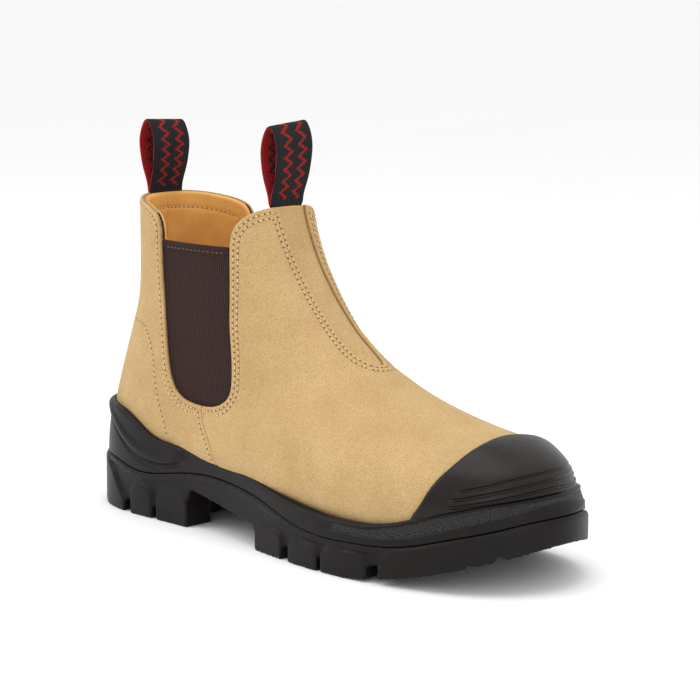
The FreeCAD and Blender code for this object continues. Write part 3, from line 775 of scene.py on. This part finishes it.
def make_stay():
    """Strip over the heel seam, on a grid of its own because it crosses that seam."""
    half = 9
    across = np.linspace(-half, half, 25)
    heights = np.linspace(COUNTER_LOW, COUNTER_HIGH, 44)
    below_heel = 100 * (np.arange(GRID.shape[0]) > 110)
    points = []
    for z in heights:
        row = int(np.argmin(np.abs(GRID[:, 0, 2] - z) + below_heel))
        for y in across:
            near = slice(0, 60) if y < 0 else slice(2 * HALF - 59, 2 * HALF + 1)
            order = np.argsort(GRID[row, near, 1])
            ys = GRID[row, near, 1][order]
            q, normal = [np.array([np.interp(y, ys, table[row, near, c][order])
                                   for c in range(3)]) for table in (GRID, NORMAL)]
            q[2] = z
            edge = min(half - abs(y), z - COUNTER_LOW, COUNTER_HIGH - z)
            points.append(q + normal * (1.25 + float(rounded(np.array(edge), 1.1))))
    n = len(across)
    faces = [[a, a + 1, a + n + 1, a + n]
             for k in range(len(heights) - 1) for a in range(k * n, k * n + n - 1)]
    stay = build("back_stay_leather", points, faces, [LINING])
    solid = stay.modifiers.new("thick", "SOLIDIFY")
    solid.thickness = 1.1 * MM
    solid.offset = -1
    finish_piece(stay, "lining_leather", "back_stay")


def make_shaft_lining(word, half):
    """A bead on the collar's rim, then the smooth leather below it."""
    sheet = Sheet(("collar", word, "foot"), half & (X < 60) & (Z > 50) & (FIELD["foot"] > 4))
    sheet.f[word] += 0.1
    sheet.trim("collar", 0.3)
    sheet.trim(word, 0.0)
    sheet.split_levels(("collar",), (0.45, 0.7, 1.0, 1.4, 1.9, 2.5, 3.2, 8.0, 8.6, 9.4))

    def outer(f, p):
        return np.where(f["collar"] > EDGE_RADIUS, -4.15, -2.0)

    def inner(f, p):
        seam_dip = 0.35 * np.exp(-((f["collar"] - LINING_ROW) / 0.8) ** 2)
        return -5.25 - rounded(f["collar"] - 0.3, 1.6) + seam_dip
    piece = panel("shaft_lining_" + word, sheet, outer, inner, [LINING, LINING_EDGE])
    if word == "right":
        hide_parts("shaft_lining")
    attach(piece, "boot")


LINING_ROW = 8.6
make_vamp()
for word, half in sides(3):
    make_quarter(word, half)
make_insert()
for word, half in sides(-5):
    make_gore(word, half)
make_stay()
for word, half in sides(3):
    make_shaft_lining(word, half)


# ------------------------------------------------------------------ bump cap
BUMP_THICKNESS = 2.7
# Four grooves in the front view, as y places, z heights and where each one starts.
RIBS = (
    ([-40, -36.9, -33.2, -27.4, -20.4, -12, -2, 9.8, 27, 45],
     [46.5, 47.6, 48.7, 49.9, 51.2, 52.2, 52.7, 52.9, 52.3, 51.5], -36.5),
    ([-42, -39.2, -34.3, -28.7, -22.1, -14.2, -4.8, 6.6, 23.1, 45],
     [43.2, 43.8, 45.3, 46.6, 47.8, 48.8, 49.5, 49.9, 49.7, 49], -39.0),
    ([-44, -40.4, -34.9, -29.7, -23.4, -15.9, -6.8, 4, 20.1, 45],
     [39.5, 40.4, 42, 43.3, 44.6, 45.7, 46.5, 46.9, 46.6, 46], -40.2),
    ([-44, -40.6, -35.4, -30.5, -24.6, -17.3, -8.6, 1.5, 20, 45],
     [36, 37, 38.8, 40, 41.3, 42.4, 43.4, 44, 43.8, 43.2], -40.6))
RIB_NAMES = tuple("rib%d" % number for number in range(len(RIBS)))
CAP_FACE = GRID + NORMAL * BUMP_THICKNESS
for name, (ys, zs, start) in zip(RIB_NAMES, RIBS):
    line = cubic(list(zip(ys, zs)), 0.5)
    rise = surface_field(CAP_FACE[..., 2] - np.interp(CAP_FACE[..., 1], line[:, 0], line[:, 1]))
    FIELD[name] = np.where(X > 100, rise, 50)
FIELD["step"] = surface_field(CAP_FACE[..., 1] - 9.5)


def cap_top(f, p):
    """Outer face of the cap: a rounded border, four grooves and a shallow step."""
    x, y, z = p.T
    h = BUMP_THICKNESS + rounded(f["bump"], 2.2) + 1.3 * smooth(z, 55, 64)
    h += 1.5 * smooth(x, 120, 140) * smooth(z, 42, 52)
    h -= 1.5 * smooth(y, 0, 24) * (1 - smooth(z, 47, 58))
    for name, (ys, zs, start) in zip(RIB_NAMES, RIBS):
        along = smooth(y, start + 1.0, start + 3.0) * (1 - smooth(y, 36, 38))
        h -= 0.95 * along * (1 - smooth(np.abs(f[name]), 0.35, 0.95))
    between = smooth(-f["rib1"], 0.6, 1.0) * smooth(f["rib3"], 0.6, 1.0)
    return h - 0.5 * smooth(f["step"], -0.3, 0.3) * between * (1 - smooth(y, 34, 35))


def make_cap():
    sheet = Sheet(("bump", "bump_foot", "step") + RIB_NAMES,
                  (X > 90) & (FIELD["bump_foot"] > -6))
    sheet.trim("bump")
    sheet.trim("bump_foot")
    sheet.split_levels(("bump",), (0.15, 0.5, 1.0, 1.6, 2.2))
    sheet.split_levels(RIB_NAMES, (-0.98, -0.8, -0.6, -0.4, 0.4, 0.6, 0.8, 0.98), 0.05)
    sheet.split_levels(("step",), (-0.3, 0.3), 0.05)
    finish_piece(panel("bump_cap_rubber", sheet, cap_top, flat(0.02), [CAP_RUBBER]),
                 "bump_rubber", "toe_bump_cap")


make_cap()


# ------------------------------------------------------------------ sole outline
SOLE_HALF = 156.0
outer_side = [(d - SOLE_HALF, -right) for d, right, left in SOLE_WIDTHS]
inner_side = [(d - SOLE_HALF, left) for d, right, left in SOLE_WIDTHS]
OUTLINE = cubic([(-SOLE_HALF, 0)] + outer_side + [(SOLE_HALF, 3)] + inner_side[::-1], 0.85,
                closed=True)
COLUMNS = len(OUTLINE)
tangent = unit(np.roll(OUTLINE, -1, axis=0) - np.roll(OUTLINE, 1, axis=0))
INWARD = np.c_[-tangent[:, 1], tangent[:, 0]]
if (INWARD[COLUMNS // 4] * OUTLINE[COLUMNS // 4]).sum() > 0:
    INWARD = -INWARD

# Lines of the midsole's wall in the side view.
CLIP = line_height([(-170, 56), (-156, 54.5), (-140, 51), (-127, 45), (-115, 37.5), (-102, 31.7),
                    (-89, 29.9), (-76, 31.0), (-69, 33.0), (-60, 36), (-40, 44)])
BAND_TOP = line_height([(20, 27), (65, 25.6), (86, 27.4), (96, 31.2), (116, 36.4), (139, 42.4),
                        (153.5, 46.4), (165, 48)])
BAND_LOW = line_height([(20, 20.5), (65, 20.8), (96, 22.7), (116, 27.9), (139, 35), (153.5, 39.9),
                        (165, 42)])


def midsole_inset(x, z, nx, low, high):
    """How far the wall leans in, with its rounded edges, heel clip and stippled band."""
    front = np.clip((x - 80) / 76, 0, 1) ** 2 * np.abs(nx)
    heel = np.clip((-118 - x) / 34, 0, 1) * np.abs(nx)
    inset = 0.2 + 2.8 * z / 64 + front * (2.0 + 0.70 * np.clip(z - 36, 0, 20))
    inset += heel * 2.6 * smooth(z, 34, 56)
    inset -= rounded(z - low, 0.9) + rounded(high - z, 1.8)
    fade = 1 - smooth(x, -74, -62)
    clip = smooth(z - CLIP(x), -0.6, 0.8) * fade
    bulge = np.clip((z - CLIP(x)) / 7.0, 0, 1)
    inset -= clip * (0.9 + 0.7 * np.sin(bulge * math.pi))
    inset += 0.9 * np.exp(-((z - CLIP(x) + 1.5) / 1.0) ** 2) * fade
    top = np.minimum(BAND_TOP(x), high - 1.2)
    band = smooth(z - BAND_LOW(x), 0, 0.9) * (1 - smooth(z - top, -0.9, 0)) * smooth(x, 42, 60)
    return inset + 0.65 * band, band


def reach_of_upper(heights):
    """Distance from the outline in to the leather, at those heights."""
    tree = BVHTree.FromPolygons(GRID.reshape(-1, 3).tolist(), QUADS.tolist())
    start_out = 5.0
    reach = []
    for (x, y), (nx, ny), z in zip(OUTLINE, INWARD, heights):
        direction = Vector((nx, ny, 0))
        hit = tree.ray_cast(Vector((x, y, z)) - direction * start_out, direction)
        depth = hit[3] - start_out if hit[0] is not None else 6.0
        reach.append(max(depth, 2.0) + 0.5)
    padded = np.r_[reach[-4:], reach, reach[:4]]
    return np.convolve(padded, np.ones(9) / 9, "valid")


def make_midsole():
    rows = 44
    low = parting(OUTLINE[:, 0]) + 0.05
    high = midsole_top(OUTLINE[:, 0])

    def ring(inset, z):
        return np.c_[OUTLINE + INWARD * inset[:, None], z]
    rings = []
    bands = []
    for k in range(rows + 1):
        z = low + (high - low) * k / rows
        inset, band = midsole_inset(OUTLINE[:, 0], z, INWARD[:, 0], low, high)
        rings.append(ring(inset, z))
        bands.append(band)
    edge = np.linalg.norm(rings[-1][:, :2] - OUTLINE, axis=1)
    touch = np.maximum(reach_of_upper(rings[-1][:, 2] - 0.3), edge + 0.4)
    for share, drop in ((0.35, 0.12), (0.75, 0.45), (1.0, 1.2)):
        rings.append(ring(edge + (touch - edge) * share, high - drop))
    for level in (high - 3.0, low + 0.5, low):
        rings.append(ring(touch + 0.6, level))
    faces = tube_faces(len(rings) + 1, COLUMNS)
    wrapped = np.array(faces) % (len(rings) * COLUMNS)
    mask = np.array(bands) > 0.85
    stippled = (mask[:-1] & mask[1:]).ravel().astype(int)
    slots = np.r_[stippled, np.zeros(len(faces) - len(stippled), int)]
    obj = build("midsole_moulded", np.concatenate(rings), wrapped.tolist(), [RUBBER, STIPPLE_SHADED], slots)
    finish_piece(obj, "midsole_foam", "midsole")


make_midsole()


# ------------------------------------------------------------------ outsole
def closed_tube(rings, around):
    """Side faces of a tube and its two ends."""
    last = (rings - 1) * around
    return tube_faces(rings, around) + [list(range(around))[::-1],
                                        list(range(last, last + around))]


def ring_solid(columns, outer_inset, depth, z_low, z_high):
    """Closed bar along part of the sole's outline, between two heights."""
    n = len(columns)
    out, wall = OUTLINE[columns], INWARD[columns]
    a = out + wall * np.broadcast_to(outer_inset, n)[:, None]
    b = out + wall * depth
    corners = [np.c_[a, z_low], np.c_[a, z_high], np.c_[b, z_high], np.c_[b, z_low]]
    return np.stack(corners, axis=1).reshape(-1, 3), closed_tube(n, 4)


def outline_side(xs, sign):
    """y of the outline on one side, at those x."""
    points = OUTLINE[OUTLINE[:, 1] * sign > 0]
    points = points[np.argsort(points[:, 0])]
    return np.interp(xs, points[:, 0], points[:, 1])


def base_plate():
    """Plate between the seam and the roots of the lugs, station by station."""
    xs = np.linspace(-153.5, 148.5, 330)
    slim = 1.9 + 6 * np.clip((xs - 105) / 44, 0, 1) ** 2 + 5 * np.clip((-125 - xs) / 28, 0, 1) ** 2
    right = outline_side(xs, -1) + slim
    left = np.maximum(outline_side(xs, 1) - slim, right + 0.5)
    ground = np.where((xs > -64) & (xs < -3), tread(xs), tread(xs) + LUG_DEPTH)
    across = np.linspace(0, 1, 24)
    points = []
    for x, y0, y1, z0, z1 in zip(xs, right, left, ground, parting(xs)):
        row = y0 + (y1 - y0) * across
        points += [(x, y, z0) for y in row] + [(x, y, z1) for y in row[::-1]]
    return np.array(points), closed_tube(len(xs), 2 * len(across))


def side_columns(x0, x1, sign):
    """Outline columns between two x values on one side."""
    x = OUTLINE[:, 0]
    return np.where((x >= x0) & (x <= x1) & (OUTLINE[:, 1] * sign > 0))[0]


def end_columns(mask):
    """Outline columns round the toe or round the heel, in order."""
    index = np.where(mask)[0]
    gap = np.where(np.diff(index) > 1)[0]
    return np.r_[index[gap[0] + 1:], index[:gap[0] + 1]] if len(gap) else index


def arch(x, top, shoulder, drop):
    """Flat top that rounds down to its two ends."""
    t = np.clip(np.minimum(x - x.min(), x.max() - x) / shoulder, 0, 1)
    return top - drop * (1 - np.sqrt(np.maximum(1 - (1 - t) ** 2, 0)))


def tread_block(x0, x1, sign):
    """Block under the middle of the sole, slanting at the forefoot and square at the heel."""
    fore = x0 > -60
    near_y, far_y = 3.5, 27.0 if fore else 17.0
    xs = np.linspace(x0, x1, 9)
    points = []
    for x, z in zip(xs, tread(xs) * (xs > 60)):
        for y, height in ((near_y, z), (near_y, z + 9), (far_y, z + 9), (far_y, z)):
            slant = 4.0 * (y - near_y) / 20 if fore else 0.0
            points.append((x - slant, sign * y + 2.0 * fore, height))
    return np.array(points), closed_tube(len(xs), 4)


LUG_DEPTH = 6.2
# Side lugs: start, end, height, length and drop of the rounded shoulders.
SIDE_LUGS = ((-108.8, -90.2, 16.5, 8, 5), (-87.5, -62.3, 16.6, 10, 5), (-4.3, 19, 13.4, 7, 3.5),
             (24.6, 47, 11.6, 8, 3), (49.2, 79.2, 12.8, 10, 5))
TREAD_BLOCKS = ((-129, -108), (-100, -78), (-4, 12), (18, 36), (42, 60), (66, 82), (88, 104))
HEEL_EDGE = straight_height([(-136, 25.7), (-126.5, 19.5), (-116.4, 8.0), (-114, 6.0)])
TOE_GUARD = straight_height([(85, 9.0), (87.5, 13.0), (91, 15.6), (98, 17.5), (113, 21.0),
                             (125, 24.6), (140, 28.9), (156, 34.0)])


def make_outsole():
    x_all = OUTLINE[:, 0]
    rim = np.r_[np.arange(COLUMNS), 0]
    top = parting(x_all[rim]) - 0.05
    tip = 2.4 * np.clip((x_all - 100) / 56, 0, 1) ** 2 * np.abs(INWARD[:, 0])
    clouds = [base_plate(), ring_solid(rim, 0.9 + tip[rim], 8.0, top - 3.0, top)]
    for x0, x1, high, shoulder, drop in SIDE_LUGS:
        for sign in (-1, 1):
            columns = side_columns(x0, x1, sign)
            x = x_all[columns]
            clouds.append(ring_solid(columns, 0.0, 17.0, tread(x) * (x > 60),
                                     arch(x, high, shoulder, drop)))
    columns = end_columns(x_all < -114.2)
    x = x_all[columns]
    clouds.append(ring_solid(columns, 0.0, 15.0, tread(x), HEEL_EDGE(x)))
    columns = end_columns(x_all > 85)
    x = x_all[columns]
    notches = 2.4 * np.exp(-((x - 141) / 1.3) ** 4) + 1.8 * np.exp(-((x - 130) / 1.0) ** 4)
    clouds.append(ring_solid(columns, tip[columns], 14.0, tread(x) + notches, TOE_GUARD(x)))
    clouds += [tread_block(x0, x1, sign) for x0, x1 in TREAD_BLOCKS for sign in (1, -1)]
    base = 0
    faces = []
    for cloud, shape in clouds:
        faces += [[i + base for i in face] for face in shape]
        base += len(cloud)
    obj = build("outsole_lugged", np.concatenate([cloud for cloud, shape in clouds]), faces,
                [SOLE_RUBBER])
    bpy.context.view_layer.objects.active = obj
    obj.select_set(True)
    bpy.ops.object.mode_set(mode="EDIT")
    bpy.ops.mesh.select_all(action="SELECT")
    bpy.ops.mesh.normals_make_consistent(inside=False)
    bpy.ops.object.mode_set(mode="OBJECT")
    remesh = obj.modifiers.new("voxels", "REMESH")
    remesh.mode = "VOXEL"
    remesh.voxel_size = 0.85 * MM
    remesh.use_smooth_shade = True
    relax = obj.modifiers.new("relax", "SMOOTH")
    relax.factor = 0.5
    relax.iterations = 3
    for modifier in list(obj.modifiers):
        bpy.ops.object.modifier_apply(modifier=modifier.name)
    obj.select_set(False)
    finish_piece(obj, "outsole_rubber", "outsole")


make_outsole()


# ------------------------------------------------------------------ stitching
ON_UPPER = FIELD["foot"] > 3
for row in (ROW_NEAR, ROW_FAR):
    stitch_row("vamp_edge", row, 0.0, (X > -60) & ((Z > 60) | (X > 0)))
BEHIND = (X < -30) & ON_UPPER & (np.abs(Y) > 2)
stitch_row("quarter_edge", ROW_NEAR, 0.0, BEHIND)
stitch_row("quarter_edge", ROW_FAR, 0.0, BEHIND & (Z > 58) & (Z < 80))
stitch_row("counter", 0.0, 0.0, (X < -70) & ON_UPPER & (FIELD["quarter"] > 3), thick=0.3)
stitch_row("collar", 3.2, -1.5, (X > -88) & (X < -44) & (FIELD["gore"] < -2), kind="thread_dark",
           holes=False)
stitch_row("collar", LINING_ROW, -4.95, (Z > 100) & ((X < -46) | (X > -38)), inside=True)
for kind, name, slot, material in (("thread", "stitching_sand", "suede", THREAD),
                                   ("thread_dark", "stitching_brown", "elastic", THREAD_DARK),
                                   ("holes", "needle_holes_shade", "suede", HOLE_SHADE)):
    clouds, shapes = THREADS[kind]
    faces = [f if f[0] != f[3] else f[:3] for f in np.concatenate(shapes).tolist()]
    piece = build(name, np.concatenate(clouds), faces, [material])
    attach(piece, "boot")


# ------------------------------------------------------------------ pull tabs
TAB_HALF = 12.4
TAB_STEP = 0.7
SEWN_TOP = 167.2       # the webbing leaves the collar here
ZIGZAG = 6.0           # length of one zigzag


def tab_path(x0, lean, rise, ends):
    """Side view of the webbing: up one face, over the top and down the other."""
    halves = []
    for side in (-1, 1):
        points = [(x + 0.3 * side, z) for x, z in zip(ends, (150, 156, 162))]
        points += [(x0 + 0.7 * side, SEWN_TOP), (x0 + 1.2 * side, HINGE_Z + 0.8)]
        points += [(x0 + out * side + lean * share, HINGE_Z + up)
                   for out, share, up in ((3.6, 0.2, 8), (5.6, 0.6, 20), (4.6, 1.0, 30))]
        halves.append(points)
    path = cubic(halves[0] + [(x0 + lean, HINGE_Z + 36.2)] + halves[1][::-1], TAB_STEP)
    path[:, 1] += rise * smooth(path[:, 1], HINGE_Z + 6, HINGE_Z + 34)
    return path


def tab_slots(path, ys):
    """Second material on the inner face and on the zigzags of the outer one."""
    m = len(ys)
    length = TAB_STEP * len(path)
    slots = []
    for k in range(len(path) - 1):
        arc = k * TAB_STEP
        wave = abs((arc % ZIGZAG) - ZIGZAG / 2) * 1.6
        patterned = 8 < arc - 14 < length - 34
        for c in range(2 * m):
            within = c >= m
            y = ys[2 * m - 1 - c] if within else ys[c]
            zigzag = patterned and any(abs(wave - (y - shift)) < 1.15 for shift in (-7.0, 2.5))
            slots.append(int(zigzag != within))
    return slots + [0, 0]


def make_tab(name, x0, lean, rise, skew, nodes, ends, pinch):
    """One strip of webbing: both ends sewn in, the loop above the collar."""
    path = tab_path(x0, lean, rise, ends)
    t = unit(np.gradient(path, axis=0))
    normal = np.c_[-t[:, 1], t[:, 0]]
    k = len(path) // 4
    if ((path[k] - (x0, HINGE_Z + 18)) * normal[k]).sum() < 0:
        normal = -normal
    ys = np.r_[-TAB_HALF, 0.25 - TAB_HALF, np.linspace(1.0 - TAB_HALF, TAB_HALF - 1.0, 34),
               TAB_HALF - 0.25, TAB_HALF]
    rim = np.clip((np.abs(ys) - TAB_HALF + 0.8) / 0.8, 0, 1)
    thick = 0.62 * np.sqrt(np.clip(1 - rim ** 2, 0.05, 1))
    rings = []
    for (x, z), (nx, nz) in zip(path, normal):
        up = max(z - HINGE_Z, 0) / 36
        press = 0.45 + 0.55 * smooth(z, 163.0, 167.5)
        wide = 0.90 + 0.10 * smooth(up, 0.0, 0.7)
        wide *= pinch + (1 - pinch) * smooth(z, 158.0, 167.0)
        for face in (1, -1):
            out = face * thick[::face] * press
            y = ys[::face]
            rings.append(np.c_[x + nx * out, y * wide, z + nz * out + skew * y * up])
    faces = closed_tube(len(path), 2 * len(ys))
    obj = build(name, np.concatenate(rings), faces, [WEB_BLACK, WEB_RED], tab_slots(path, ys))
    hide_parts(*nodes)
    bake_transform(obj)


make_tab("pull_tab_front", -31.8, 1.0, 0.6, 0.09,
         ["pull_tab_front_loop", "pull_tab_front_anchor"], (-28.7, -30.3, -31.7), 0.62)
make_tab("pull_tab_rear", -126.2, 0.0, -2.0, -0.05,
         ["pull_tab_rear_loop", "pull_tab_rear_anchor"], (-126.3, -126.2, -126.0), 1.0)


# ------------------------------------------------------------------ stage
FLOOR_HALF = 40000
floor_points = [(x, y, 0) for x in (-FLOOR_HALF, FLOOR_HALF) for y in (-FLOOR_HALF, FLOOR_HALF)]
FLOOR = plain("floor_pale", (0.94, 0.94, 0.94), (0.93, 0.93, 0.93), 0.9, 2, 30, 0.0)
floor = build("floor", floor_points, [[0, 2, 3, 1]], [FLOOR], flat_shaded=True)
floor.location.z = -0.0002


def aim(obj, target):
    obj.rotation_euler = (Vector(target) - obj.location).to_track_quat("-Z", "Y").to_euler()


def area_light(name, location, target, size, power):
    data = bpy.data.lights.new(name, "AREA")
    data.shape = "RECTANGLE"
    data.size, data.size_y = size, size
    data.energy = power
    obj = bpy.data.objects.new(name, data)
    bpy.context.scene.collection.objects.link(obj)
    obj.location = location
    aim(obj, target)


area_light("key_left", (-0.75, -0.75, 0.95), (0, 0, 0.05), 0.8, 4.6)
area_light("top_soft", (0.05, 0.0, 1.25), (0, 0, 0.05), 0.9, 5.2)
area_light("fill_right", (0.95, -0.55, 0.5), (0.02, 0, 0.06), 0.7, 2.2)
world = bpy.data.worlds.new("studio")
world.use_nodes = True
background = world.node_tree.nodes["Background"]
background.inputs["Color"].default_value = (1, 1, 1, 1)
background.inputs["Strength"].default_value = 1.0
bpy.context.scene.world = world
bpy.context.scene.view_settings.view_transform = "Standard"

camera_data = bpy.data.cameras.new("camera")
camera_data.lens = 122.2
camera_data.sensor_width = 36
camera = bpy.data.objects.new("camera", camera_data)
bpy.context.scene.collection.objects.link(camera)
azimuth, elevation, distance = math.radians(45.6), math.radians(9.43), 1.1775
target = Vector((0.0145, 0.0, 0.0965))
camera.location = target + distance * Vector((math.sin(azimuth) * math.cos(elevation),
                                              -math.cos(azimuth) * math.cos(elevation),
                                              math.sin(elevation)))
aim(camera, target)
bpy.context.scene.camera = camera
